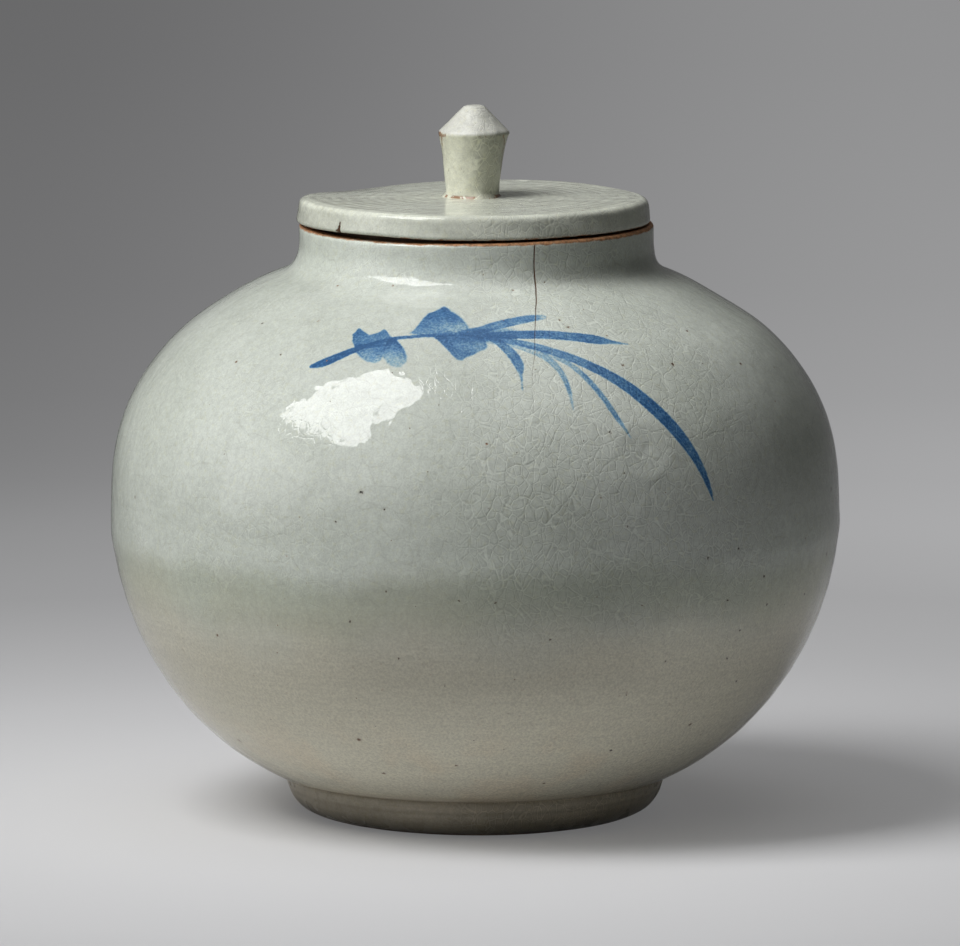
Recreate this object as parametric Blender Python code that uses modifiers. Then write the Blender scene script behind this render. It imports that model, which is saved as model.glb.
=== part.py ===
"""A round storage jar of glazed stoneware with a flat lid and a stub knob.

The jar stands on a low foot ring, swells to a wide belly and draws in to a short upright neck.
The lid is a flat slab as wide as the neck. A ring under it drops into the mouth and keeps it
centred, and the knob on top is a flared stub with a cone-shaped crown.
"""

import math

import bmesh
import bpy
from mathutils import Vector

# Driving dimensions of the jar, in metres, from the ground up
foot_radius = 0.0517
foot_height = 0.0095
foot_tuck = 0.0097
foot_land = 0.007
foot_draft = 0.0015
base_radius = 0.0523
belly_radius = 0.100
belly_height = 0.0825
neck_radius = 0.0484
shoulder_height = 0.0696
neck_height = 0.0102
neck_fillet = 0.004
wall = 0.005
floor_thickness = 0.007
floor_round = 0.016
rim_round = 0.0012

# Fullness of the belly's two curves, as powers: 2 and 2 would be a plain ellipse
shoulder_height_power = 2.75
shoulder_radius_power = 1.28
lower_height_power = 1.85
lower_radius_power = 2.65

# Driving dimensions of the lid, in metres
lid_thickness = 0.0069
lid_top_round = 0.0026
lid_bottom_round = 0.0012
lid_edge_lean = 0.0009
ring_clearance = 0.0015
ring_wall = 0.0045
ring_drop = 0.0075
ring_round = 0.0012

# Driving dimensions of the knob, in metres
knob_height = 0.0253
knob_base_radius = 0.0074
knob_ridge_radius = 0.0098
knob_ridge_height = 0.0180
knob_tip_radius = 0.0026
knob_ridge_round = 0.0014
knob_tip_round = 0.0010

# Where the stem's bend pulls to, as shares of its widening and of its height
stem_bend_shares = (0.28, 0.62)

# Hairline left between two pieces of clay that are joined or that rest on each other
seam = 0.0003

# Points of a spun profile closer than this become one, as they do on the axis
merge_distance = 0.00001

# How finely the turned pieces are divided
jar_segments = 60
knob_segments = 32
curve_steps = 9
round_steps = 3
sharp_angle = math.radians(38)

# Heights that the pieces share
base_z = foot_height + seam
floor_z = base_z + floor_thickness
neck_z = belly_height + shoulder_height
rim_z = neck_z + neck_height
lid_z = rim_z + seam
knob_z = lid_z + lid_thickness + seam

# Glaze and clay colours, linear red, green and blue, with roughness
glaze_colour = (0.50, 0.53, 0.46)
foot_colour = (0.24, 0.23, 0.18)
lid_colour = (0.48, 0.50, 0.43)
clay_colour = (0.46, 0.27, 0.16)
glaze_roughness = 0.18
foot_roughness = 0.35
clay_roughness = 0.75


def clear_scene():
    """Remove every object that the file holds."""
    for old in list(bpy.data.objects):
        bpy.data.objects.remove(old, do_unlink=True)


def full_reach(length, end_radius, radius, height_power, radius_power):
    """How far a swelling curve would reach if it ran on to the axis."""
    narrowing = 1 - (end_radius / radius) ** radius_power
    return length / narrowing ** (1 / height_power)


def swelling(radius, reach, height_power, radius_power, start, end, steps):
    """Radius and height of points on a swelling curve, between two turns of its angle."""
    points = []
    for step in range(steps + 1):
        turn = start + (end - start) * step / steps
        r = radius * math.cos(turn) ** (2 / radius_power)
        h = reach * math.sin(turn) ** (2 / height_power)
        points.append((r, h))
    return points


def turn_at_radius(r, radius, radius_power):
    """The curve's angle where it has drawn in to a given radius."""
    return math.acos((r / radius) ** (radius_power / 2))


def turn_at_height(h, reach, height_power):
    """The curve's angle where it has come a given height away from the belly."""
    return math.asin((h / reach) ** (height_power / 2))


def bend(start, corner, end, steps):
    """A soft corner: a quadratic curve pulled towards the corner point."""
    points = []
    for step in range(steps + 1):
        t = step / steps
        a = Vector(start).lerp(Vector(corner), t)
        b = Vector(corner).lerp(Vector(end), t)
        points.append(tuple(a.lerp(b, t)))
    return points


def soft_corner(before, corner, after, size, steps=round_steps):
    """Round the corner between two straight runs, starting one size away along each."""
    at = Vector(corner)
    start = at + (Vector(before) - at).normalized() * size
    end = at + (Vector(after) - at).normalized() * size
    return bend(start, at, end, steps)


def upper_wall(radius, reach, neck):
    """One face of the shoulder and neck, from the rim down to the belly."""
    neck_turn = turn_at_radius(neck, radius, shoulder_radius_power)
    fillet_turn = turn_at_radius(neck + neck_fillet, radius, shoulder_radius_power)
    meeting = reach * math.sin(neck_turn) ** (2 / shoulder_height_power)
    curve = swelling(radius, reach, shoulder_height_power, shoulder_radius_power,
                     fillet_turn, 0.0, curve_steps)
    points = bend((neck, meeting + neck_fillet), (neck, meeting), curve[0], round_steps)
    return [(r, belly_height + h) for r, h in points + curve[1:]]


def jar_profile():
    """Profile of the thrown body: up the inside, over the rim and down the outside."""
    rise = full_reach(shoulder_height, neck_radius, belly_radius,
                      shoulder_height_power, shoulder_radius_power)
    fall = full_reach(belly_height - base_z, base_radius, belly_radius,
                      lower_height_power, lower_radius_power)

    # Inside floor and lower wall
    inner_radius = belly_radius - wall
    floor_turn = turn_at_height(belly_height - floor_z, fall - wall, lower_height_power)
    floor_edge = inner_radius * math.cos(floor_turn) ** (2 / lower_radius_power)
    leave_turn = turn_at_radius(floor_edge + floor_round, inner_radius, lower_radius_power)
    lower = swelling(inner_radius, fall - wall, lower_height_power, lower_radius_power,
                     leave_turn, 0.0, curve_steps)
    lower = [(r, belly_height - h) for r, h in lower]
    floor = bend((floor_edge - floor_round, floor_z), (floor_edge, floor_z), lower[0],
                 round_steps + 1)
    inside_down = upper_wall(inner_radius, rise - wall, neck_radius - wall)
    inside = [(0.0, floor_z)] + floor + lower[1:] + inside_down[-2::-1]

    # Rim: flat on top, where the lid sits, with both edges softened
    inner_neck = neck_radius - wall
    rim = soft_corner((inner_neck, neck_z), (inner_neck, rim_z), (neck_radius, rim_z), rim_round)
    rim += soft_corner((inner_neck, rim_z), (neck_radius, rim_z), (neck_radius, neck_z), rim_round)

    # Outside: neck, shoulder, belly, lower wall and the flat under the floor
    outside = upper_wall(belly_radius, rise, neck_radius)
    base_turn = turn_at_radius(base_radius, belly_radius, lower_radius_power)
    below = swelling(belly_radius, fall, lower_height_power, lower_radius_power,
                     0.0, base_turn, curve_steps)
    outside += [(r, belly_height - h) for r, h in below[1:]]
    return inside + rim + outside + [(0.0, base_z)]


def foot_profile():
    """Closed profile of the foot ring: a quarter ellipse outside, a narrow flat land below."""
    contact = foot_radius - foot_tuck
    outer = []
    for step in range(2 * round_steps + 1):
        angle = 0.5 * math.pi * step / (2 * round_steps)
        outer.append((contact + foot_tuck * math.cos(angle), foot_height * (1 - math.sin(angle))))
    inner = contact - foot_land
    return outer + [(inner, 0.0), (inner - foot_draft, foot_height)]


def lid_profile():
    """Profile of the lid slab: from the middle of its top, over the edge, to below the middle."""
    top = (neck_radius - lid_edge_lean, lid_thickness)
    bottom = (neck_radius, 0.0)
    over = soft_corner((0.0, lid_thickness), top, bottom, lid_top_round, round_steps + 1)
    under = soft_corner(top, bottom, (0.0, 0.0), lid_bottom_round)
    return [(0.0, lid_thickness)] + over + under + [(0.0, 0.0)]


def ring_profile():
    """Closed profile of the ring that hangs into the mouth, measured down from the lid."""
    outer = neck_radius - wall - ring_clearance
    inner = outer - ring_wall
    bottom = -ring_drop
    down = soft_corner((outer, -seam), (outer, bottom), (inner, bottom), ring_round)
    up = soft_corner((outer, bottom), (inner, bottom), (inner, -seam), ring_round)
    return [(outer, -seam)] + down + up + [(inner, -seam)]


def knob_profile():
    """Profile of the knob: from the tip, down the crown and the flared stem, to its foot."""
    tip = (knob_tip_radius, knob_height)
    ridge = (knob_ridge_radius, knob_ridge_height)
    foot = (knob_base_radius, 0.0)
    widening, rise = stem_bend_shares
    pull = (knob_base_radius + widening * (knob_ridge_radius - knob_base_radius),
            rise * knob_ridge_height)
    crown = soft_corner((0.0, knob_height), tip, ridge, knob_tip_round)
    edge = soft_corner(tip, ridge, pull, knob_ridge_round)
    stem = bend(edge[-1], pull, foot, 2 * round_steps)
    return [(0.0, knob_height)] + crown + edge + stem[1:] + [(0.0, 0.0)]


def glaze(name, colour, roughness):
    """A plain glaze or clay finish."""
    material = bpy.data.materials.new(name)
    material.use_nodes = True
    shader = material.node_tree.nodes["Principled BSDF"]
    shader.inputs["Base Color"].default_value = (*colour, 1.0)
    shader.inputs["Roughness"].default_value = roughness
    shader.inputs["Metallic"].default_value = 0.0
    material.diffuse_color = (*colour, 1.0)
    return material


def turned(name, profile, closed, segments, height, material, collection, parent=None):
    """Spin a profile about the upright axis and stand the piece at its height."""
    mesh = bpy.data.meshes.new(name)
    shape = bmesh.new()
    verts = [shape.verts.new((r, 0.0, z)) for r, z in profile]
    for first, second in zip(verts, verts[1:]):
        shape.edges.new((first, second))
    if closed:
        shape.edges.new((verts[-1], verts[0]))
    shape.to_mesh(mesh)
    shape.free()

    piece = bpy.data.objects.new(name, mesh)
    collection.objects.link(piece)
    screw = piece.modifiers.new("spin", "SCREW")
    screw.axis = "Z"
    screw.angle = math.tau
    screw.steps = segments
    screw.render_steps = segments
    screw.use_merge_vertices = True
    screw.merge_threshold = merge_distance
    screw.use_smooth_shade = True

    # Keep the spun mesh itself, so that its crisp edges can be marked
    bpy.context.view_layer.update()
    spun = piece.evaluated_get(bpy.context.evaluated_depsgraph_get())
    piece.data = bpy.data.meshes.new_from_object(spun)
    piece.data.name = name
    piece.modifiers.clear()
    bpy.data.meshes.remove(mesh)
    piece.data.shade_smooth()
    piece.data.set_sharp_from_angle(angle=sharp_angle)
    piece.data.materials.clear()
    piece.data.materials.append(material)

    piece.parent = parent
    base = parent.location.z if parent else 0.0
    piece.location.z = height - base
    return piece


def build():
    """Make the two loose halves of the object: the jar, and the lid with its ring and knob."""
    clear_scene()
    collection = bpy.data.collections.new("lidded_jar")
    bpy.context.scene.collection.children.link(collection)
    body_glaze = glaze("body_glaze", glaze_colour, glaze_roughness)
    foot_glaze = glaze("foot_glaze", foot_colour, foot_roughness)
    lid_glaze = glaze("lid_glaze", lid_colour, glaze_roughness)
    bare_clay = glaze("bare_clay", clay_colour, clay_roughness)

    turned("jar_body", jar_profile(), False, jar_segments, 0.0, body_glaze, collection)
    turned("foot_ring", foot_profile(), True, jar_segments, 0.0, foot_glaze, collection)

    # The lid's pieces hang on one empty, on the line along which the lid lifts
    lift = bpy.data.objects.new("lid_lift_line", None)
    lift.location.z = lid_z
    collection.objects.link(lift)
    turned("lid_plate", lid_profile(), False, jar_segments, lid_z, lid_glaze, collection, lift)
    turned("lid_locating_ring", ring_profile(), True, jar_segments, lid_z, bare_clay, collection,
           lift)
    turned("lid_knob", knob_profile(), False, knob_segments, knob_z, lid_glaze, collection, lift)


build()
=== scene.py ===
# %% [markdown]
# # A round storage jar with a lift-off lid
# The real jar is thrown on a wheel from pale stoneware clay and dipped in a grey-green glaze. It
# is five pieces of clay: the body, the foot ring, the lid slab, the ring under it and the knob.
#
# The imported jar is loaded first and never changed. Each of its plain solids could get a better
# material and stay, but a solid with sixty flat facets shows them in its glaze. So every piece
# is turned again here from the same outline, finely enough to carry dents, a nick and a drawing.

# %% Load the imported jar
import math

import bpy
import numpy as np
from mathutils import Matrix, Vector


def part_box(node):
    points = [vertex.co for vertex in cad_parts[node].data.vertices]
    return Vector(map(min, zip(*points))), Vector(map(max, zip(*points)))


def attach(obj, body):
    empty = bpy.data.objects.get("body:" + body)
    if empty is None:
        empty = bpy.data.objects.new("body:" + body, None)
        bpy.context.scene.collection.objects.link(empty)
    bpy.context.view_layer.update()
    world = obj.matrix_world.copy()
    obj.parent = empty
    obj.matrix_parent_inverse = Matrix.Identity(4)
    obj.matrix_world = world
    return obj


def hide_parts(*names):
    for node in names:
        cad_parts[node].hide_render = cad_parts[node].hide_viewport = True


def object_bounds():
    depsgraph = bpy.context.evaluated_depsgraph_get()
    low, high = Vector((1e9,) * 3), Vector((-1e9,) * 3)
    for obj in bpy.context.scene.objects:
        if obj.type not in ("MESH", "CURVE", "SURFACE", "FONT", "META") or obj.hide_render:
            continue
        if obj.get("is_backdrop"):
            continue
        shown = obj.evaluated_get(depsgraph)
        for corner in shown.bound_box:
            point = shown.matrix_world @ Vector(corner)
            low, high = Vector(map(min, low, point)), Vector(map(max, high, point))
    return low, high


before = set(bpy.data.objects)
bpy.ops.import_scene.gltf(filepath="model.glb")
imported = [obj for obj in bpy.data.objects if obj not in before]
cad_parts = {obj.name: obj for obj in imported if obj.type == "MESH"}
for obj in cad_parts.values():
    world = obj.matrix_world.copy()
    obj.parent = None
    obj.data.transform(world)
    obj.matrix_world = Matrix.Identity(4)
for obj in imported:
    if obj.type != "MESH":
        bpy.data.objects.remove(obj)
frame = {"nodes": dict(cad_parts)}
cad_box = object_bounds()
print("pieces:", ", ".join(frame["nodes"]))

# %% [markdown]
# ## Units and sizes
# A potter measures in millimetres and in degrees round the jar, so this script does too. `mm`
# turns a length into the metres that Blender works in. Degrees count from the middle of the
# painted side, and grow to the right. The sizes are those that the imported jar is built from,
# but the corner between neck and shoulder, `neck_fillet`, is 2 mm wider and so a little softer.

# %% Sizes of the jar, in millimetres
mm = 0.001
foot_radius = 51.7
foot_height = 9.5
foot_tuck = 9.7
foot_land = 7.0
base_radius = 52.3
base_height = 9.8
belly_radius = 100.0
belly_height = 82.5
neck_radius = 48.4
shoulder_height = 69.6
neck_height = 10.2
neck_fillet = 6.0
wall = 5.0
floor_height = 16.8
floor_round = 16.0
rim_round = 1.3
rim_height = belly_height + shoulder_height + neck_height

jar_low, jar_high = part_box("jar_body")
print("packed jar body is", round((jar_high.x - jar_low.x) / mm, 1), "mm wide and its rim is at",
      round(jar_high.z / mm, 1), "mm; here", 2 * belly_radius, "and", round(rim_height, 1))

# %% [markdown]
# ## The camera
# The photograph looks a little down on the jar from far away, with a long lens, so the sides
# stay almost parallel. A camera 3.5 m off with a lens of about 480 mm gives the same ellipses at
# the lid and the foot. It aims a touch right of the jar's axis, which sets the jar left of
# the middle of the frame without any lens shift.

# %% Set the camera
def new_object(name, data):
    """A new object in the scene, at the jar's own origin."""
    made = bpy.data.objects.new(name, data)
    bpy.context.scene.collection.objects.link(made)
    return made


camera_back = 3500.0
camera_right = 1.4
camera_height = 567.5
aim_height = 93.1
lens_length = 482.9

eye = bpy.data.cameras.new("camera")
eye.lens = lens_length
eye.sensor_width = 36.0
eye.clip_end = 200.0
camera = new_object("camera", eye)
camera.location = Vector((camera_right, -camera_back, camera_height)) * mm
aim = Vector((camera_right, 0.0, aim_height)) * mm
camera.rotation_euler = (aim - camera.location).to_track_quat("-Z", "Y").to_euler()
bpy.context.scene.camera = camera
print("camera looks down by", round(math.degrees(math.atan2(camera_height - aim_height,
                                                            camera_back)), 2), "degrees")

# %% [markdown]
# ## Turning a piece from its outline
# A turned piece could be spun with a Screw modifier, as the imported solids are. Here it is written
# straight as a grid of rows and columns, because the grid can then be dense where the drawing is
# and sparse behind, and each point can be pushed a little, as fingers do.

# %% Points along an outline, and columns round the jar
def respace(outline, step):
    """Points along a (radius, height) outline, one step apart, which may change on the way."""
    outline = np.asarray(outline, float)
    runs = np.diff(outline, axis=0)
    middles = 0.5 * (outline[1:] + outline[:-1])
    steps = step(middles[:, 0], middles[:, 1]) if callable(step) else step
    count = np.concatenate(([0.0], np.cumsum(np.hypot(runs[:, 0], runs[:, 1]) / steps)))
    wanted = np.linspace(0.0, count[-1], int(round(count[-1])) + 1)
    return np.column_stack([np.interp(wanted, count, outline[:, k]) for k in (0, 1)])


def columns(fine_from, fine_to, fine_step, coarse_step):
    """Directions round the jar in degrees, close together between two of them."""
    fine_count = int(round((fine_to - fine_from) / fine_step))
    coarse_count = int(round((360.0 - (fine_to - fine_from)) / coarse_step))
    fine = np.linspace(fine_from, fine_to, fine_count + 1)
    coarse = np.linspace(fine_to, fine_from + 360.0, coarse_count + 1)[1:-1]
    return np.concatenate((fine, coarse))


def bend(start, corner, end, steps=24):
    """A soft corner: a quadratic curve pulled towards the corner point."""
    t = np.linspace(0.0, 1.0, steps + 1)[:, None]
    start, corner, end = np.array(start), np.array(corner), np.array(end)
    return (1 - t) ** 2 * start + 2 * t * (1 - t) * corner + t ** 2 * end


def soft_corner(before, corner, after, size):
    """Round the corner between two straight runs, starting one size away along each."""
    before, corner, after = np.array(before), np.array(corner), np.array(after)
    start = corner + (before - corner) / np.linalg.norm(before - corner) * size
    end = corner + (after - corner) / np.linalg.norm(after - corner) * size
    return bend(start, corner, end)


# %% Spin an outline into a mesh
def place_at(degrees, radius, height):
    """Points from directions round the jar, distances from its axis and heights."""
    turn = np.radians(degrees)
    return np.stack((radius * np.sin(turn), -radius * np.cos(turn), height + 0.0 * turn), axis=-1)


def turned(name, outline, around, pushed=None, closed=False):
    """Spin an outline, which runs up the outside and back down the inside, about the axis.

    An open outline starts and ends on the axis. `pushed` takes radius, height and direction of
    every point and gives back the radius and height after fingers and fire have moved it.
    """
    rows = outline if closed else outline[1:-1]
    radius = np.repeat(rows[:, :1], len(around), axis=1)
    height = np.repeat(rows[:, 1:], len(around), axis=1)
    degrees = np.repeat(around[None, :], len(rows), axis=0)
    if pushed:
        radius, height = pushed(radius, height, degrees)
    points = place_at(degrees, radius, height).reshape(-1, 3)

    across = len(around)
    first = np.arange(len(rows) if closed else len(rows) - 1)[:, None] * across
    here = np.arange(across)[None, :]
    beside = (here + 1) % across
    above = (first + across) % (len(rows) * across)
    quads = np.stack((first + here, first + beside, above + beside, above + here), axis=-1)
    faces = quads.reshape(-1, 4).tolist()
    if not closed:
        bottom, top = len(points), len(points) + 1
        last = (len(rows) - 1) * across
        ends = np.array((outline[0][1], outline[-1][1]))
        if pushed:
            ends = pushed(np.zeros(2), ends, np.zeros(2))[1]
        points = np.vstack((points, [(0, 0, ends[0]), (0, 0, ends[1])]))
        faces += [(bottom, (k + 1) % across, k) for k in range(across)]
        faces += [(top, last + k, last + (k + 1) % across) for k in range(across)]

    mesh = bpy.data.meshes.new(name)
    mesh.from_pydata((points * mm).tolist(), [], faces)
    mesh.shade_smooth()
    print(name, "has", len(mesh.vertices), "points and", len(mesh.polygons), "faces")
    return new_object(name, mesh)


# %% [markdown]
# ## The body's outline
# The belly is wider than a ball: each half is an ellipse with other powers than 2, which gives
# the square shoulders and the narrow foot of a jar thrown fast. The wall is 5 mm thick.

# %% Outline of the body
shoulder_powers = (2.75, 1.28)
lower_powers = (1.85, 2.65)


def full_reach(length, end_radius, powers):
    """How far a swelling curve would reach if it ran on to the axis."""
    height_power, radius_power = powers
    return length / (1 - (end_radius / belly_radius) ** radius_power) ** (1 / height_power)


def swelling(radius, reach, powers, start_radius, end_radius, steps=400):
    """Radius and height of points on a swelling curve, between two of its radii."""
    height_power, radius_power = powers
    ends = [math.acos((end / radius) ** (radius_power / 2)) for end in (start_radius, end_radius)]
    turn = np.linspace(*ends, steps + 1)
    return np.column_stack((radius * np.cos(turn) ** (2 / radius_power),
                            reach * np.sin(turn) ** (2 / height_power)))


rise = full_reach(shoulder_height, neck_radius, shoulder_powers)
fall = full_reach(belly_height - base_height, base_radius, lower_powers)


def upper_wall(radius, reach, neck):
    """One face of the shoulder and neck, from the belly up to the neck's fillet."""
    curve = swelling(radius, reach, shoulder_powers, radius, neck + neck_fillet)
    meeting = swelling(radius, reach, shoulder_powers, neck, neck, 1)[0][1]
    fillet = bend(curve[-1], (neck, meeting), (neck, meeting + neck_fillet))
    points = np.vstack((curve, fillet[1:]))
    return points + (0.0, belly_height)


def lower_wall(radius, reach, start_radius):
    """One face of the lower half, from a radius near the foot up to the belly."""
    curve = swelling(radius, reach, lower_powers, start_radius, radius)
    return curve * (1.0, -1.0) + (0.0, belly_height)


def inner_floor():
    """The inside of the floor, with its wide soft corner, as far as the lower wall."""
    inner = belly_radius - wall
    reach = fall - wall
    height_power, radius_power = lower_powers
    turn = math.asin(((belly_height - floor_height) / reach) ** (height_power / 2))
    edge = inner * math.cos(turn) ** (2 / radius_power)
    wall_up = lower_wall(inner, reach, edge + floor_round)
    corner = bend((edge - floor_round, floor_height), (edge, floor_height), wall_up[0])
    return np.vstack(([(0.0, floor_height)], corner, wall_up[1:]))


inner_neck = neck_radius - wall
outside = np.vstack((lower_wall(belly_radius, fall, base_radius),
                     upper_wall(belly_radius, rise, neck_radius)[1:]))
inside = np.vstack((inner_floor(), upper_wall(belly_radius - wall, rise - wall, inner_neck)[1:]))
rim = np.vstack((
    soft_corner((neck_radius, 0.0), (neck_radius, rim_height), (0.0, rim_height), rim_round),
    soft_corner((neck_radius, rim_height), (inner_neck, rim_height), (inner_neck, 0), rim_round)))
body_outline = np.vstack(([(0.0, base_height)], outside, rim, inside[::-1]))
print("the body's outline is", round(np.hypot(*np.diff(outside, axis=0).T).sum()),
      "mm from foot to rim")

# %% [markdown]
# ## What the hands and the fire left
# A thrown pot is never quite round. The wall swells and sinks by a third of a millimetre, the
# fingers leave shallow rings, and a knock leaves a dent. A noise texture could move the points
# too, but a few waves written out are easy to aim, and they give the same jar on every run.

# %% Waves and humps
upright = math.inf


def waves(turn, height, sines):
    """Waves round a piece, each with its depth, count, the height of a radian, and start."""
    return sum(depth * np.sin(count * turn + height / climb + start)
               for depth, count, climb, start in sines)


def hump(distance, spread):
    """1 in the middle, and softly to nothing over a few spreads."""
    return np.exp(-(distance / spread) ** 2)


def rising(value, start, length):
    """0 up to the start, 1 from one length further on; a length below 0 counts downwards."""
    return np.clip((value - start) / length, 0.0, 1.0)


def degrees_from(degrees, middle):
    """How far round the jar from a direction, from -180 to 180."""
    return (degrees - middle + 180.0) % 360.0 - 180.0


def bump_at(degrees, middle, spread):
    """A soft hump in a direction, 1 in its middle."""
    return hump(degrees_from(degrees, middle), spread)


# %% Push the body out of true
body_waves = [(0.16, 2, upright, 1.1), (0.12, 3, 34.0, 0.0), (0.10, 5, -21.0, 2.0)]
seam_height = 76.5
seam_depth = 0.26
seam_spread = 4.5
rings_below = 92.0
neck_from = 152.0
rim_worn = 0.80
dent_places = [(28.2, 110.5, 5.0, 0.30), (-8.0, 72.0, 12.0, 0.18), (24.0, 98.0, 3.5, 0.10),
               (39.0, 122.0, 6.0, 0.12), (150.0, 95.0, 9.0, 0.35), (-140.0, 118.0, 7.0, 0.25)]


def thrown(radius, height, degrees):
    """Radius and height of the body's points after throwing and firing."""
    turn = np.radians(degrees)
    out = waves(turn, height, body_waves)
    rings = np.sin(height / 1.25 + 1.4 * np.sin(turn) + 0.6 * np.sin(height / 7.3))
    low = rising(height, rings_below, -50.0)
    out += rings * (0.012 + 0.035 * low)
    for at_degrees, at_height, size, depth in dent_places:
        around = np.radians(degrees_from(degrees, at_degrees)) * radius
        far = np.hypot(around, (height - at_height) * 1.2) / size
        out -= depth * hump(far, 1.0) - 0.35 * depth * np.exp(-(far - 1.7) ** 2 / 0.18)
    seam = seam_height + 4.5 * bump_at(degrees, 68.0, 30.0)
    out += seam_depth * hump(height - seam, seam_spread)
    inner_face = (radius < np.interp(height, outside[:, 1], outside[:, 0]) - 0.5 * wall)
    out = np.where(inner_face, out * 0.8 + 0.09 * np.sin(height / 1.1 + turn), out)
    at_rim = rising(height, rim_height - 6.0, 6.0)
    keep_round = 1.0 - 0.6 * at_rim
    worn = rim_worn * bump_at(degrees, -38.0, 40.0) * at_rim ** 2
    leaning = rising(height, neck_from, 4.0) * (0.2 + 0.35 * np.sin(turn))
    on_shoulder = rising(height, 160.0, -7.0) * (height > belly_height)
    sunk = 1.3 * hump(radius - neck_radius, 9.0) - 0.5 * hump(radius - 80.0, 9.0)
    sunk += 0.8 * hump(radius - 68.0, 11.0) * bump_at(degrees, 88.0, 50.0)
    return radius + out * keep_round + leaning, height - worn - on_shoulder * sunk


# %% Turn the body
painted_from = -35.0
painted_to = 43.0
drawing_low = 92.0
drawing_high = 149.0
plain_step = 1.7
drawing_step = 0.58
neck_step = 0.75
inner_step = 3.6
rim_step = 0.4
underside_step = 7.0


def body_step(radius, height):
    """How far apart the rows of the body are: close where the drawing is."""
    step = np.full(radius.shape, plain_step)
    step[(height > drawing_low) & (height < drawing_high)] = drawing_step
    step[height >= drawing_high] = neck_step
    step[radius < np.interp(height, outside[:, 1], outside[:, 0]) - 0.5 * wall] = inner_step
    step[height > rim_height - 1.6] = rim_step
    step[height < base_height + 0.01] = underside_step
    return step


jar_columns = columns(painted_from, painted_to, 0.42, 1.9)
body_rows = respace(body_outline, body_step)
body = turned("glazed_body", body_rows, jar_columns, thrown)
outer_count = int(np.argmax(body_rows[:, 1])) * len(jar_columns)
print("the outer face has", outer_count, "points")

# %% [markdown]
# ## The brushed spray
# The drawing is painted in cobalt on the raw clay and lies under the glaze: a stem, two leaves
# and a sheaf of grass blades, each one stroke of a wet brush. A picture would give it, but this
# part uses no images. Instead each stroke is a few chosen places on the jar, and every point of
# the mesh nearby remembers how far it is to the side of the stroke and how far along it lies.
# Those numbers change evenly from point to point, so the shader can draw an edge much finer
# than the mesh, and streaks that follow the brush.

# %% Smooth lines on the jar's outer face
def on_jar(degrees, height):
    """The point on the body's outer face at a direction and a height."""
    radius = np.interp(height, outside[:, 1], outside[:, 0])
    radius, height = thrown(radius, height, degrees)
    return place_at(degrees, radius, height)


def smooth_line(points, on, count=140):
    """Evenly spaced samples of a smooth curve through points that start with their place."""
    points = np.asarray(points, float)
    gaps = np.linalg.norm(np.diff(on(points[:, 0], points[:, 1]), axis=0), axis=1)
    along = np.concatenate(([0.0], np.cumsum(gaps)))
    slope = np.gradient(points, along, axis=0)
    wanted = np.linspace(0.0, along[-1], count)
    k = np.clip(np.searchsorted(along, wanted, "right") - 1, 0, len(gaps) - 1)
    gap = gaps[k][:, None]
    t = ((wanted - along[k]) / gaps[k])[:, None]
    return ((1 + 2 * t) * (1 - t) ** 2 * points[k] + t * (1 - t) ** 2 * gap * slope[k]
            + t ** 2 * (3 - 2 * t) * points[k + 1] + t ** 2 * (t - 1) * gap * slope[k + 1])


def carry(piece, name, values):
    """Store four numbers on every point of a piece, for its shader to read."""
    layer = piece.data.attributes.new(name, "FLOAT_COLOR", "POINT")
    layer.data.foreach_set("color", np.asarray(values, np.float32).ravel())


def points_of(piece):
    """The piece's points in millimetres."""
    found = np.empty(len(piece.data.vertices) * 3)
    piece.data.vertices.foreach_get("co", found)
    return found.reshape(-1, 3) / mm


# %% Lay a stroke or a blot on the mesh
far_away = 9.0
untouched = (far_away, -far_away, 0.0, 0.0)


def near(points, line):
    """Which points lie in the box round a line."""
    low = line.min(axis=0) - far_away
    high = line.max(axis=0) + far_away
    return np.flatnonzero(np.all((points > low) & (points < high), axis=1))


def stroke(points, route, on=on_jar, centre_height=belly_height):
    """Per point: distance to the side, half the width there, distance along, and ink."""
    samples = smooth_line(route, on)
    line = on(samples[:, 0], samples[:, 1])
    steps = np.gradient(line, axis=0)
    forward = steps / np.linalg.norm(steps, axis=1)[:, None]
    along = np.concatenate(([0.0], np.cumsum(np.linalg.norm(np.diff(line, axis=0), axis=1))))
    outward = line - (0.0, 0.0, centre_height)
    sideways = np.cross(outward, forward)
    sideways /= np.linalg.norm(sideways, axis=1)[:, None]

    values = np.tile(untouched, (len(points), 1))
    held = near(points, line)
    gap = points[held][:, None, :] - line[None, :, :]
    nearest = np.argmin((gap ** 2).sum(axis=2), axis=1)
    to_point = points[held] - line[nearest]
    side = (to_point * sideways[nearest]).sum(axis=1)
    travelled = along[nearest] + (to_point * forward[nearest]).sum(axis=1)
    half = 0.5 * np.interp(travelled, along, samples[:, 2])
    over = np.maximum(np.maximum(-travelled, travelled - along[-1]), 0.0)
    half -= over ** 2 / np.maximum(half, 0.25)
    half = np.where(np.abs(side) < 0.7 * far_away, np.maximum(half, -far_away), -far_away)
    ink = np.interp(travelled, along, samples[:, 3])
    values[held] = np.column_stack((side, half, travelled, ink))
    return values


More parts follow.
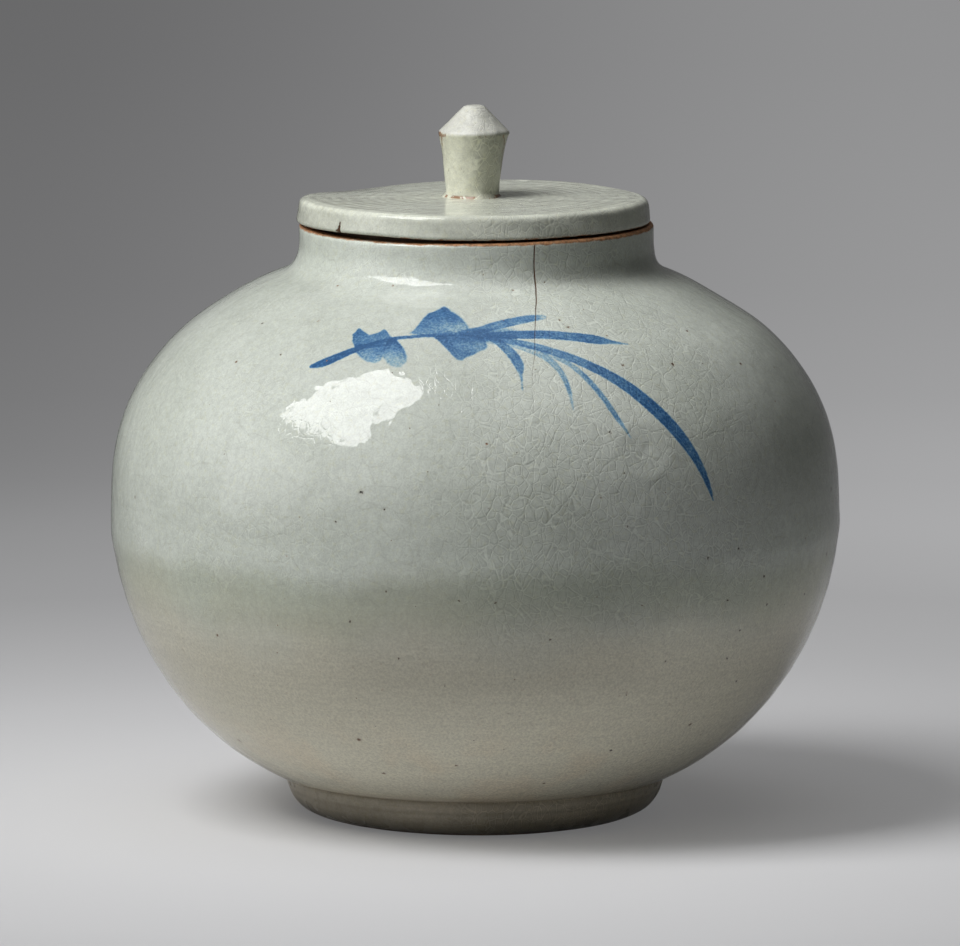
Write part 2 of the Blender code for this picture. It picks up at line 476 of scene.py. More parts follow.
def blot(points, edge, ink, rightward=0.0, upward=0.0):
    """Per point: distance to the blot's edge, negative inside it, and ink, which may fade."""
    closed = np.asarray(edge + edge[:1], float)
    line = on_jar(closed[:, 0], closed[:, 1])
    middle = line[:-1].mean(axis=0)
    across = np.array((-middle[1], middle[0], 0.0)) / np.hypot(middle[0], middle[1])
    up = np.cross(middle - (0.0, 0.0, belly_height), across)
    up /= np.linalg.norm(up)
    flat = np.column_stack(((line - middle) @ across, (line - middle) @ up))

    values = np.tile(untouched, (len(points), 1))
    held = near(points, line)
    x, y = (points[held] - middle) @ across, (points[held] - middle) @ up
    distance = np.full(len(held), far_away)
    inside_it = np.zeros(len(held), bool)
    for (x1, y1), (x2, y2) in zip(flat[:-1], flat[1:]):
        run, climb = x2 - x1, y2 - y1
        share = ((x - x1) * run + (y - y1) * climb) / (run ** 2 + climb ** 2)
        share = np.clip(share, 0.0, 1.0)
        distance = np.minimum(distance, np.hypot(x - x1 - share * run, y - y1 - share * climb))
        crossed = (y1 > y) != (y2 > y)
        inside_it ^= crossed & (x < x1 + (y - y1) * run / (climb if climb else 1e-9))
    values[held, 0] = np.where(inside_it, -distance, distance)
    values[held, 3] = np.clip(ink + rightward * x + upward * y, 0.0, 1.0)
    return values


def on_outside(values):
    """Values for the body's points, with those of its inner face set far away."""
    values[outer_count:] = untouched
    return values


# %% The strokes of the spray, each point as degrees, height, width and ink
stem = [(-32.4, 130.9, 1.2, 1.00), (-30.6, 131.7, 2.6, 1.00), (-27.8, 133.5, 2.7, 1.00),
        (-24.6, 135.6, 2.1, 0.97), (-21.0, 137.4, 1.5, 0.92), (-17.5, 138.6, 1.4, 0.90),
        (-12.5, 139.4, 1.2, 0.82), (-7.0, 139.9, 1.4, 0.60), (-2.0, 140.1, 1.8, 0.50),
        (3.0, 139.5, 2.4, 0.50)]
blades = {
    "blade_up": [(-3.0, 140.6, 1.6, 0.30), (0.5, 141.0, 2.6, 0.60), (5.0, 142.2, 3.2, 0.68),
                 (10.5, 143.3, 3.1, 0.70), (14.0, 143.8, 2.7, 0.66), (16.6, 144.0, 1.9, 0.38)],
    "blade_level": [(2.8, 139.9, 2.2, 0.68), (9.0, 139.9, 3.2, 0.82), (15.0, 139.8, 3.3, 0.78),
                    (22.0, 138.9, 3.4, 0.78), (27.3, 137.8, 3.1, 0.80), (29.2, 137.3, 1.7, 0.68),
                    (33.0, 136.4, 0.4, 0.40)],
    "blade_long": [(3.5, 139.2, 2.2, 0.48), (9.5, 137.9, 2.4, 0.57), (15.5, 135.7, 2.7, 0.63),
                   (21.5, 132.4, 3.0, 0.75), (27.0, 127.9, 3.5, 0.83), (31.5, 121.8, 3.9, 0.89),
                   (35.0, 114.8, 3.7, 0.88), (37.8, 106.8, 2.6, 0.80), (39.3, 100.3, 1.5, 0.80),
                   (40.0, 96.0, 0.4, 0.75)],
    "blade_thin": [(11.5, 137.0, 1.4, 0.26), (15.0, 135.0, 1.6, 0.31), (19.0, 131.7, 1.7, 0.43),
                   (22.2, 126.2, 1.7, 0.56), (24.6, 119.1, 1.4, 0.54), (26.3, 114.0, 0.3, 0.40)],
    "blade_curled": [(5.5, 138.4, 2.0, 0.22), (10.5, 136.5, 2.4, 0.25), (14.0, 134.3, 2.3, 0.34),
                     (16.0, 131.2, 1.8, 0.42), (16.9, 127.0, 1.3, 0.48), (17.0, 121.6, 0.4, 0.35)],
    "blade_short": [(3.0, 139.5, 1.8, 0.42), (5.3, 137.8, 2.4, 0.64), (7.4, 135.2, 3.0, 0.70),
                    (8.5, 132.2, 2.5, 0.72), (8.6, 130.3, 1.0, 0.58), (8.5, 126.6, 0.3, 0.40)],
}
strokes = {"stem": stem, **blades}

# %% [markdown]
# A leaf is pressed down with the side of the brush, and its ink runs to where the water runs.
# So a leaf is an outline of degrees and heights, its ink, and how much that ink grows with each
# millimetre to the right and upwards. A last number says how soft its edge is, in millimetres.

# %% The leaves of the spray
leaves = {
    "small_leaf": ([(-26.6, 140.8), (-27.1, 139.2), (-26.2, 137.4), (-24.6, 135.6),
                    (-22.2, 136.0), (-19.5, 136.6), (-17.6, 137.4), (-17.4, 138.5),
                    (-18.0, 139.0), (-20.0, 140.6), (-20.6, 140.8), (-21.3, 140.0),
                    (-23.1, 139.2), (-24.9, 140.0)], 0.74, -0.01, 0.00, 0.3),
    "small_leaf_low": ([(-25.2, 137.0), (-24.6, 135.2), (-22.9, 133.8), (-21.0, 132.8),
                        (-19.4, 132.6), (-18.4, 133.3), (-18.3, 135.0), (-18.4, 137.4),
                        (-21.0, 136.9)], 0.62, -0.01, 0.07, 0.4),
    "small_leaf_right": ([(-18.6, 138.4), (-18.7, 136.0), (-18.1, 133.9), (-17.0, 132.6),
                          (-15.4, 131.8), (-14.0, 131.9), (-13.3, 133.1), (-13.4, 134.4),
                          (-14.4, 136.2), (-16.0, 137.8), (-17.2, 138.8)], 0.60, 0.02, 0.09, 0.4),
    "big_leaf_upper": ([(-14.4, 140.1), (-13.5, 141.0), (-12.9, 142.2), (-12.2, 143.8),
                        (-11.4, 144.9), (-9.9, 145.4), (-8.9, 146.0), (-8.0, 146.6),
                        (-6.9, 146.2), (-6.0, 145.4), (-4.4, 144.8), (-2.9, 143.7),
                        (-1.8, 142.5), (-1.1, 141.2), (-0.9, 140.2), (-5.0, 139.6),
                        (-10.0, 139.4)], 0.68, -0.020, 0.040, 0.4),
    "big_leaf_lower": ([(-9.2, 139.6), (-7.2, 138.1), (-5.7, 136.5), (-4.5, 135.1),
                        (-3.5, 134.0), (-2.5, 133.7), (-1.7, 134.5), (-0.4, 135.0),
                        (1.0, 136.0), (2.1, 136.4), (2.6, 137.2), (2.3, 138.4),
                        (1.8, 139.5), (-2.0, 140.3)], 0.72, -0.020, 0.010, 0.4),
    "leaf_root": ([(-13.0, 139.3), (-8.0, 141.3), (-3.0, 141.0), (3.0, 141.0), (6.0, 139.6),
                   (2.0, 138.4), (-4.0, 138.6), (-8.0, 139.2)], 0.34, 0.010, 0.0, 1.1),
    "leaf_crown": ([(-10.6, 144.3), (-9.0, 145.8), (-8.0, 146.5), (-6.9, 146.1),
                    (-5.0, 144.9), (-3.2, 143.5), (-4.5, 143.0), (-7.4, 143.7)],
                   0.30, 0.0, 0.0, 1.2),
    "sheaf": ([(-0.5, 141.4), (4.0, 141.6), (8.5, 141.3), (11.0, 140.4), (9.5, 139.2),
               (7.0, 138.2), (4.0, 137.9), (1.5, 138.4), (-1.0, 139.6)], 0.48, -0.03, 0.0, 1.0),
}

body_points = points_of(body)
for name, route in strokes.items():
    carry(body, name, on_outside(stroke(body_points, route)))
for name, (edge, ink, rightward, upward, _) in leaves.items():
    carry(body, name, on_outside(blot(body_points, edge, ink, rightward, upward)))
print("the spray has", len(strokes), "strokes and", len(leaves), "blots")

# %% [markdown]
# ## The firing crack
# A dark crack runs down from the rim and fades out below the spray. It is laid like a stroke, but
# the shader will also sink it into the surface.

# %% Lay the crack
crack = [(19.4, 162.6, 0.26, 1.00), (19.1, 157.0, 0.26, 1.00), (18.9, 152.0, 0.28, 1.00),
         (17.3, 148.7, 0.26, 0.90), (15.6, 145.9, 0.24, 0.80), (14.3, 143.0, 0.20, 0.65),
         (13.0, 139.4, 0.18, 0.50), (12.0, 135.0, 0.16, 0.40), (10.8, 130.5, 0.16, 0.22),
         (10.4, 126.0, 0.16, 0.06), (9.8, 119.6, 0.16, 0.03)]
hairline = [(16.6, 140.6, 0.14, 0.16), (15.9, 137.4, 0.14, 0.16), (15.2, 134.0, 0.14, 0.10)]
carry(body, "crack", on_outside(stroke(body_points, crack)))
carry(body, "hairline", on_outside(stroke(body_points, hairline)))
print("the crack runs down to", crack[-1][1], "mm above the ground")

# %% [markdown]
# ## Specks and pits
# Iron in the clay burns through the glaze as brown and black specks, and gas leaves pits. A cell
# noise scatters dots anywhere, but here the ones that show most have their own places, and a
# seeded draw adds small ones all round. Each point of the mesh remembers which way and how far
# its nearest speck lies, so that a speck stays a crisp dot even where the mesh is coarse.

# %% Scatter the specks
specks_seen = [
    (-53.6, 139.5, 0.35, 0.1), (-40.9, 132.9, 0.30, 0.2), (-17.8, 100.7, 0.45, 0.0),
    (-14.0, 96.4, 0.28, 0.1), (-21.8, 92.6, 0.28, 0.1), (-68.0, 91.6, 0.40, 0.1),
    (22.7, 115.7, 0.36, 0.0), (-19.9, 65.5, 0.36, 0.1), (3.2, 71.7, 0.28, 0.2),
    (-2.4, 72.2, 0.28, 0.2), (-13.7, 74.3, 0.28, 0.2), (-12.4, 55.6, 0.30, 0.2),
    (-50.9, 130.1, 0.40, 0.7), (-38.2, 141.7, 0.35, 0.8), (-25.7, 151.6, 0.32, 0.9),
    (1.9, 113.7, 0.36, 1.0), (11.5, 150.9, 0.32, 0.9), (-44.9, 150.3, 0.32, 0.9),
    (21.4, 141.4, 0.42, 0.6), (20.2, 143.1, 0.34, 0.6), (29.2, 131.5, 0.38, 0.5),
    (40.3, 130.8, 0.55, 0.4), (51.4, 138.1, 0.40, 0.5), (58.3, 128.6, 0.40, 0.4),
    (-46.5, 57.9, 0.42, 0.6), (-58.9, 24.9, 0.60, 0.5), (-22.9, 30.7, 0.65, 0.6),
    (-20.8, 20.0, 0.45, 0.6), (-3.8, 23.5, 0.40, 0.7), (16.6, 17.0, 0.42, 0.6),
    (45.5, 32.2, 0.50, 0.4), (24.1, 105.2, 0.30, 0.0), (24.1, 91.1, 0.30, 0.0),
    (77.0, 91.7, 0.50, 0.0), (75.0, 74.3, 0.50, 0.0), (45.1, 82.2, 0.36, 0.0),
    (38.6, 80.6, 0.34, 0.0), (51.8, 73.3, 0.40, 0.0), (53.9, 65.1, 0.34, 0.0),
    (66.7, 65.1, 0.40, 0.0), (47.0, 51.2, 0.36, 0.0), (52.6, 43.5, 0.34, 0.0),
    (28.4, 26.7, 0.40, 0.1), (33.1, 52.7, 0.32, 0.1), (48.2, 58.9, 0.32, 0.0),
    (43.8, 68.2, 0.32, 0.0), (-5.0, 48.0, 0.26, 0.3), (12.0, 61.0, 0.26, 0.2)]
speck_spacing = 8.0


def scatter(seed, count, low, high):
    """Specks all round the jar between two heights, as degrees, height, size and rust."""
    draw = np.random.default_rng(seed)
    return [(draw.uniform(-180, 180), draw.uniform(low, high), 0.07 + 0.12 * draw.random() ** 2,
             draw.choice([0.2, 0.5, 0.7, 0.9])) for _ in range(count)]


def keep_apart(first, others, spacing):
    """The first specks, and those of the others that lie far enough from all before them."""
    kept = list(first)
    places = [on_jar(speck[0], speck[1]) for speck in kept]
    for speck in others:
        place = on_jar(speck[0], speck[1])
        if min(np.linalg.norm(place - other) for other in places) > spacing:
            kept.append(speck)
            places.append(place)
    return kept


def carry_specks(piece, points, specks, on=on_jar):
    """Give each point the way to its nearest speck, that speck's distance, size and rust."""
    places = np.array([on(speck[0], speck[1]) for speck in specks])
    looks = np.array([speck[2:] for speck in specks])
    nearest = np.empty(len(points), int)
    batch = 5000
    for start in range(0, len(points), batch):
        gap = points[start:start + batch, None, :] - places[None, :, :]
        nearest[start:start + batch] = np.argmin((gap ** 2).sum(axis=2), axis=1)
    way = points - places[nearest]
    distance = np.linalg.norm(way, axis=1)
    carry(piece, "speck_way", np.column_stack((way, distance)))
    carry(piece, "speck_look", np.column_stack((looks[nearest], distance, distance)))


strewn = scatter(seed=11, count=900, low=12.0, high=158.0)
specks = keep_apart(specks_seen, strewn, speck_spacing)
carry_specks(body, body_points, specks)
print("the body carries", len(specks), "specks and pits")

# %% [markdown]
# ## A recipe for materials
# Every finish here is a tree of shader nodes. `Signal` lets the numbers that nodes give out be
# added and multiplied like plain ones, and `Recipe` shortens the other calls. It works in
# millimetres on the piece's own coordinates, so that a finish stays with its piece when the lid
# is lifted, and a size in a recipe is a size on the real jar.

# %% Signal: a number on its way through the nodes
def rgba(red, green, blue):
    """A colour as Blender's sockets take it."""
    return red, green, blue, 1.0


class Signal:
    """A number that a node gives out, to be used in plain arithmetic."""

    def __init__(self, wiring, socket):
        self.wiring = wiring
        self.socket = socket

    def __add__(self, other):
        return self.wiring.number("ADD", self, other)

    def __sub__(self, other):
        return self.wiring.number("SUBTRACT", self, other)

    def __rsub__(self, other):
        return self.wiring.number("SUBTRACT", other, self)

    def __mul__(self, other):
        return self.wiring.number("MULTIPLY", self, other)

    def __truediv__(self, other):
        return self.wiring.number("DIVIDE", self, other)

    def __abs__(self):
        return self.wiring.number("ABSOLUTE", self)


class Wiring:
    """A tree of shader nodes, with short calls that add nodes and link them."""

    def __init__(self, tree):
        self.nodes = tree.nodes
        self.links = tree.links

    def feed(self, socket, value):
        """Link another node's output to a socket, or set the socket's own value."""
        if isinstance(value, Signal):
            value = value.socket
        if isinstance(value, bpy.types.NodeSocket):
            self.links.new(value, socket)
        else:
            socket.default_value = value

    def add(self, kind, inputs, **settings):
        """A new node of a kind, with its settings and its inputs."""
        node = self.nodes.new("ShaderNode" + kind)
        for name, value in settings.items():
            setattr(node, name, value)
        for key, value in inputs.items():
            self.feed(node.inputs[key], value)
        return node

    def number(self, operation, first, second=0.0):
        """One step of arithmetic."""
        node = self.add("Math", {0: first, 1: second}, operation=operation)
        return Signal(self, node.outputs[0])

    def fade(self, value, low, high, start=0.0, end=1.0):
        """Smoothly from the start, where the value is low, to the end, where it is high."""
        inputs = {"Value": value, "From Min": low, "From Max": high, "To Min": start,
                  "To Max": end}
        node = self.add("MapRange", inputs, interpolation_type="SMOOTHSTEP")
        return Signal(self, node.outputs["Result"])


# %% Recipe: the nodes that a glaze needs
class Recipe(Wiring):
    """A material's node tree, in millimetres on the piece's own coordinates."""

    def __init__(self, name):
        self.material = bpy.data.materials.new(name)
        self.material.use_nodes = True
        super().__init__(self.material.node_tree)
        self.shader = self.nodes["Principled BSDF"]
        own = self.nodes.new("ShaderNodeTexCoord").outputs["Object"]
        self.place = self.vector("MULTIPLY", own, (1 / mm, 1 / mm, 1 / mm))
        split = self.add("SeparateXYZ", {0: self.place})
        self.rightward = Signal(self, split.outputs["X"])
        self.height = Signal(self, split.outputs["Z"])
        level = self.vector("MULTIPLY", self.place, (1.0, 1.0, 0.0))
        self.radius = self.vector("LENGTH", level)
        self.facing = self.vector("NORMALIZE", level)

    def vector(self, operation, first, second=(0.0, 0.0, 0.0)):
        """One step of arithmetic on a place, a direction or a colour."""
        node = self.add("VectorMath", {0: first, 1: second}, operation=operation)
        if operation in ("LENGTH", "DOT_PRODUCT"):
            return Signal(self, node.outputs["Value"])
        return node.outputs["Vector"]

    def joined(self, x, y, z):
        """Three numbers as one place or colour."""
        return self.add("CombineXYZ", {0: x, 1: y, 2: z}).outputs[0]

    def noise(self, size, place=None, detail=2.0, roughness=0.5):
        """Clouds from 0 to 1 whose lumps are about one size across."""
        inputs = {"Vector": place or self.place, "Scale": 1.0 / size, "Detail": detail,
                  "Roughness": roughness}
        return Signal(self, self.add("TexNoise", inputs).outputs[0])

    def wobble(self, size, reach, place=None, detail=2.0):
        """Clouds that swing about 0, over a reach."""
        return (self.noise(size, place, detail) - 0.5) * reach

    def cell_edge(self, size, place):
        """Distance in millimetres to the border of irregular cells about one size across."""
        inputs = {"Vector": place, "Scale": 1.0 / size}
        node = self.add("TexVoronoi", inputs, feature="DISTANCE_TO_EDGE")
        return Signal(self, node.outputs["Distance"]) * size

    def toward(self, right, back, low, high, start=0.0, end=1.0):
        """Smoothly to the end on the side of the piece that faces a direction."""
        along = self.vector("DOT_PRODUCT", self.facing, (right, back, 0.0))
        return self.fade(along, low, high, start, end)

    def blend(self, share, first, second, mode="MIX"):
        """Two colours mixed."""
        inputs = {0: share, 6: first, 7: second}
        return self.add("Mix", inputs, data_type="RGBA", blend_type=mode).outputs[2]

    def shade(self, colour, amount):
        """A colour times a number."""
        if not isinstance(colour, bpy.types.NodeSocket):
            colour = colour[:3]
        return self.vector("MULTIPLY", colour, self.joined(amount, amount, amount))

    def ramp(self, value, steps):
        """A colour that follows a value through a few steps."""
        node = self.add("ValToRGB", {0: value})
        scale = node.color_ramp
        while len(scale.elements) < len(steps):
            scale.elements.new(0.5)
        for element, (position, colour) in zip(scale.elements, steps):
            element.position = position
            element.color = colour
        return node.outputs["Color"]

    def carried(self, name):
        """The four numbers that `carry` stored on the mesh."""
        stored = self.add("Attribute", {}, attribute_name=name)
        split = self.add("SeparateXYZ", {0: stored.outputs["Vector"]})
        return [Signal(self, socket) for socket in (*split.outputs, stored.outputs["Alpha"])]

    def line(self, name, ragged, low, high):
        """How strongly a carried line shows; it fades between two distances past its edge."""
        side, half, _, strength = self.carried(name)
        return self.fade(abs(side) - half + ragged, low, high, 1.0, 0.0) * strength

    def rings(self, along, size, spread):
        """Streaks that run round the jar, as turning leaves them."""
        around = self.vector("MULTIPLY", self.facing, (spread, spread, 0.0))
        place = self.vector("ADD", around, self.joined(0.0, 0.0, along))
        return self.noise(size, place, detail=3.0)

    def finish(self, colour, roughness, relief, piece):
        """Wire up the shader, with the relief in millimetres, and hand it to a piece."""
        bump = self.add("Bump", {"Height": relief, "Distance": mm, "Strength": 1.0})
        self.feed(self.shader.inputs["Base Color"], colour)
        self.feed(self.shader.inputs["Roughness"], roughness)
        self.feed(self.shader.inputs["Normal"], bump.outputs["Normal"])
        piece.data.materials.clear()
        piece.data.materials.append(self.material)
        print(self.material.name, "has", len(self.nodes), "nodes")


# %% [markdown]
# ## The glaze
# The glaze is a thin glass over pale clay. Its tone drifts from grey-green, where it is thick and
# the kiln was short of air, to a warm beige low down. It is mottled with tiny bubbles, it is
# crossed by a net of fine cracks two or three millimetres apart, and its surface is a little
# lumpy like orange peel, which breaks up the edge of every reflection.

# %% Glaze: tone, crackle and skin
crackle_colour = rgba(0.30, 0.30, 0.25)
old_glass_tint = (0.97, 0.95, 0.84)
small_cell = 2.3
wide_cell = 6.0
speck_black = rgba(0.035, 0.030, 0.025)
speck_rust = rgba(0.24, 0.095, 0.030)
halo_colour = rgba(0.40, 0.30, 0.18)


def crackle(recipe):
    """The two nets of cracks, as distances to the nearest crack, and where the small one shows."""
    drift = recipe.add("TexNoise", {"Vector": recipe.place, "Scale": 0.16, "Detail": 1.0})
    bent = recipe.vector("ADD", recipe.vector("MULTIPLY", recipe.place, (1.0, 1.0, 0.75)),
                         recipe.vector("MULTIPLY", drift.outputs["Color"], (2.2, 2.2, 2.2)))
    patches = recipe.fade(recipe.noise(16.0), 0.42, 0.62, 0.0, 0.5)
    patches = recipe.number("MAXIMUM", patches, recipe.toward(0.42, -0.91, 0.80, 0.96))
    return recipe.cell_edge(small_cell, bent), recipe.cell_edge(wide_cell, bent), patches


def glaze(recipe, pale, deep, grain=0.055, crackle_share=0.28):
    """The parts that all the glazed pieces share: colour, roughness and relief."""
    tone = recipe.blend(recipe.fade(recipe.noise(55.0), 0.36, 0.64), pale, deep)

    # Mottling of bubbles and clay grain under the glass
    mottle = recipe.noise(1.9, detail=3.0, roughness=0.65)
    yellowed = recipe.fade(recipe.noise(1.2, roughness=0.6), 0.52, 0.70, 0.0, 0.5)
    tone = recipe.shade(tone, recipe.fade(mottle, 0.30, 0.70, 1.0 - grain, 1.0 + grain))
    tone = recipe.blend(yellowed, tone, recipe.vector("MULTIPLY", tone, old_glass_tint))
    for size, change in ((0.5, 0.055), (5.0, 0.02)):
        cloudlets = recipe.noise(size, detail=1.0)
        tone = recipe.shade(tone, recipe.fade(cloudlets, 0.30, 0.70, 1.0 - change, 1.0 + change))

    # Dark cracks, and light and shade painted along the edges of the small ones
    small_edge, wide_edge, patches = crackle(recipe)
    net = recipe.number("MAXIMUM", recipe.fade(small_edge, 0.01, 0.11, 0.45, 0.0) * patches,
                        recipe.fade(wide_edge, 0.01, 0.12, 0.6, 0.0))
    tone = recipe.blend(net * crackle_share, tone, crackle_colour)
    painted_sheen = recipe.fade(small_edge, 0.04, 0.17, 0.32, 0.0)
    painted_crack_shade = recipe.fade(small_edge, 0.12, 0.42, -0.15, 0.0)
    tone = recipe.shade(tone, (painted_sheen + painted_crack_shade) * patches + 1.0)

    # Orange peel, and plates of glass that stand a little above their cracks
    peel = recipe.noise(6.0, detail=0.0) * 0.135 + recipe.noise(2.2, detail=0.0) * 0.055
    plates = recipe.fade(small_edge, 0.0, 0.25, 0.0, 0.030)
    plates += recipe.fade(wide_edge, 0.0, 0.27, 0.0, 0.036)
    roughness = recipe.fade(recipe.noise(9.0, detail=3.0), 0.3, 0.7, 0.015, 0.045)
    recipe.shader.inputs["Specular IOR Level"].default_value = 0.34
    return tone, roughness, peel + plates * patches


def speckled(recipe, tone, roughness, relief):
    """Iron specks and pits at the places that the mesh carries."""
    *way, distance = recipe.carried("speck_way")
    size, rust, _, _ = recipe.carried("speck_look")
    length = recipe.vector("LENGTH", recipe.joined(*way)) + 0.06 + recipe.wobble(0.4, 1.1)
    close = recipe.fade(distance, 3.0, 3.6, 1.0, 0.0)
    inner = recipe.fade(length / size, 0.7, 1.15, 1.0, 0.0) * close
    halo = recipe.fade(length / size, 0.9, 2.4, 0.22, 0.0) * close
    tone = recipe.blend(halo, tone, halo_colour)
    tone = recipe.blend(inner * 0.92, tone, recipe.blend(rust, speck_black, speck_rust))
    return tone, roughness + inner * 0.35, relief - inner * 0.12


# %% [markdown]
# ## Glaze on the body, with the painted spray
# Cobalt under glass lets blue through and swallows red first, so the drawing multiplies the
# colour of the clay instead of covering it: one stroke over another is darker, and thin ink
# stays greenish. A brush leaves more ink at the edge of its stroke and streaks along it.

# %% The spray's ink
ink_steps = [(0.00, rgba(1.00, 1.00, 1.00)), (0.35, rgba(0.50, 0.705, 0.91)),
             (0.60, rgba(0.225, 0.435, 0.76)), (0.80, rgba(0.12, 0.290, 0.63)),
             (1.00, rgba(0.060, 0.175, 0.45))]


def stroke_ink(recipe, name, ragged, blot_ink):
    """How much ink one stroke leaves, from 0 to 1."""
    side, half, along, ink = recipe.carried(name)
    edge = abs(side) - half + ragged
    mask = recipe.fade(edge, -0.34, 0.30, 1.0, 0.0)
    pooled = recipe.fade(edge, -0.95, -0.35, 0.0, 0.04)
    streaks = recipe.wobble(0.45, 0.45, recipe.joined(side, along * 0.12, half))
    return mask * (ink + pooled + streaks + blot_ink)


def leaf_ink(recipe, name, ragged, blot_ink, softness):
    """How much ink one blot of a leaf leaves, from 0 to 1."""
    edge, _, _, ink = recipe.carried(name)
    edge += ragged
    mask = recipe.fade(edge, -softness, softness, 1.0, 0.0)
    pooled = recipe.fade(edge, -0.6 - softness, -softness, 0.0, 0.06)
    return mask * (ink + pooled + blot_ink)


# %% Body glaze: tone
upper_glaze = rgba(0.685, 0.725, 0.660)
upper_glaze_deep = rgba(0.615, 0.655, 0.585)
lower_glaze = rgba(0.695, 0.655, 0.518)
shaded_share = (0.86, 0.87, 0.81)
flushed_share = (1.04, 0.92, 0.84)
fleck_colour = rgba(0.36, 0.25, 0.15)

coat = Recipe("body_glaze")
height = coat.height
tone, roughness, relief = glaze(coat, upper_glaze, upper_glaze_deep)

# The lower half fired warmer, with a cloudy border just under the widest line
lower_share = coat.fade(height + coat.wobble(38.0, 26.0, detail=3.0), 50.0, 80.0, 1.0, 0.0)
tone = coat.blend(lower_share * 0.85, tone, lower_glaze)
# Partly the glaze's darker border and partly painted shade: a band under the seam, darkest at the
# front, where the lamp no longer reaches
under_seam = height - seam_height + coat.toward(0.31, -0.95, 0.80, 0.98, 0.0, -5.0)
under_seam += coat.wobble(30.0, 14.0, detail=3.0)
band = coat.fade(under_seam, -22.0, -8.0) * coat.fade(under_seam, -6.0, 3.0, 1.0, 0.0)
tone = coat.blend(band, tone, coat.vector("MULTIPLY", tone, shaded_share))
# Painted light from the floor: the lower half is lighter near the ground, and more so on its right
# side
painted_floor_light = coat.toward(0.85, -0.53, 0.2, 0.9) * coat.fade(height, 45.0, 68.0, 0.09, 0.27)
painted_floor_light += coat.fade(height, 20.0, 50.0, 0.16, -0.03)
tone = coat.shade(tone, painted_floor_light * lower_share + 1.0)
# Painted shade on the upper shoulder, where the lamp falls most, and painted light on the neck
tone = coat.shade(tone, coat.fade(height, 106.0, 136.0, 1.0, 0.89)
                 * coat.fade(height, 148.0, 155.0, 1.0, 1.18))

# Light and shade painted by side and height: darker low at the front, at the far right and on the
# neck at right, and lighter on the right shoulder. Each area has the way that it faces, how far
# round it fades in, the heights where it fades in and out, and its change.
painted_light_areas = {"low at the front": (0.05, -1.0, 0.85, 0.96, (40.0, 50.0), (74.0, 84.0), -0.09),
               "right shoulder": (0.57, -0.82, 0.80, 0.96, (112.0, 126.0), (148.0, 153.0), 0.15),
               "far right": (1.0, -0.10, 0.66, 0.90, (78.0, 96.0), (124.0, 138.0), -0.15),
               "neck at right": (0.90, -0.43, 0.55, 0.92, (146.0, 149.0), (154.0, 156.0), -0.12)}
for right, back, faint, full, lower, upper, change in painted_light_areas.values():
    area = coat.toward(right, back, faint, full) * coat.fade(height, *lower)
    tone = coat.shade(tone, area * coat.fade(height, *upper, 1.0, 0.0) * change + 1.0)

# Flushes, grain and flecks low down, and the faint rings of turning
flush = coat.fade(coat.noise(17.0, detail=3.0), 0.45, 0.66, 0.0, 0.4)
flush *= coat.fade(height, 18.0, 42.0, 1.0, 0.0)
tone = coat.blend(flush, tone, coat.vector("MULTIPLY", tone, flushed_share))
fine_grain = coat.fade(coat.noise(0.7, detail=3.0, roughness=0.7), 0.32, 0.68, -0.12, 0.12)
tone = coat.shade(tone, fine_grain * lower_share + 1.0)
flecks = coat.fade(coat.noise(1.6, detail=3.0, roughness=0.65), 0.655, 0.72, 0.0, 0.35)
tone = coat.blend(flecks * lower_share, tone, fleck_colour)
turning = coat.rings(height, 1.1, 5.0)
turning_depth = coat.fade(lower_share, 0.0, 1.0, 0.3, 1.0)
tone = coat.shade(tone, (turning - 0.5) * turning_depth * 0.16 + 1.0)
relief += turning * turning_depth * 0.03

# %% Body glaze: the spray, the cracks and the bare rim
rust_clay = rgba(0.38, 0.195, 0.095)
crack_colour = rgba(0.13, 0.070, 0.040)
foot_line_colour = rgba(0.50, 0.39, 0.29)

# The spray, under the glass: each wash leaves a share of the clay clear
ragged = coat.wobble(0.9, 0.5, detail=3.0)
blot_noise = coat.wobble(3.5, 0.55, detail=3.0) + coat.wobble(0.6, 0.9)
inks = [stroke_ink(coat, name, ragged, blot_noise) for name in strokes]
inks += [leaf_ink(coat, name, ragged, blot_noise, leaf[-1]) for name, leaf in leaves.items()]
clear = 1.0
for ink in inks:
    clear = (1.0 - ink) * clear
tone = coat.blend(1.0, tone, coat.ramp(1.0 - clear, ink_steps), "MULTIPLY")

# The crack, and the hairline beside it
for name in ("crack", "hairline"):
    split = coat.line(name, ragged * 0.25, -0.02, 0.10)
    tone = coat.blend(split, tone, crack_colour)
    relief -= split * 0.15
tone, roughness, relief = speckled(coat, tone, roughness, relief)

# A dent that a fingertip left, below the drooping blades
dent_middle = tuple(on_jar(29.0, 111.2).tolist())
from_dent = coat.vector("LENGTH", coat.vector("SUBTRACT", coat.place, dent_middle))
relief += coat.fade(from_dent, 0.3, 2.1, -0.12, 0.0)

# Bare rusty clay on the rim, where the lid sits, and a brown line above the foot
rim_edge = height + coat.noise(2.2, detail=3.0) * 0.9
bare = coat.fade(rim_edge, rim_height - 0.65, rim_height - 0.25)
flushed = coat.fade(rim_edge, base_height + 0.5, base_height + 4.0, 0.40, 0.0)
tone = coat.blend(flushed, tone, foot_line_colour)
clay_grain = coat.fade(coat.noise(0.8, detail=3.0), 0.3, 0.7, 0.55, 1.5)
tone = coat.blend(bare, tone, coat.shade(rust_clay, clay_grain))
coat.finish(tone, roughness + bare * 0.5, relief, body)

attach(body, "jar")
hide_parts("jar_body")

# %% [markdown]
# ## The foot ring
# The foot is a ring that was turned and joined under the body. The photograph shows two close
# lines where they meet, and a thin, darker glaze that was wiped off the edge that touches the
# ground. The ring runs a hair up into the body, so that no light shows between them.

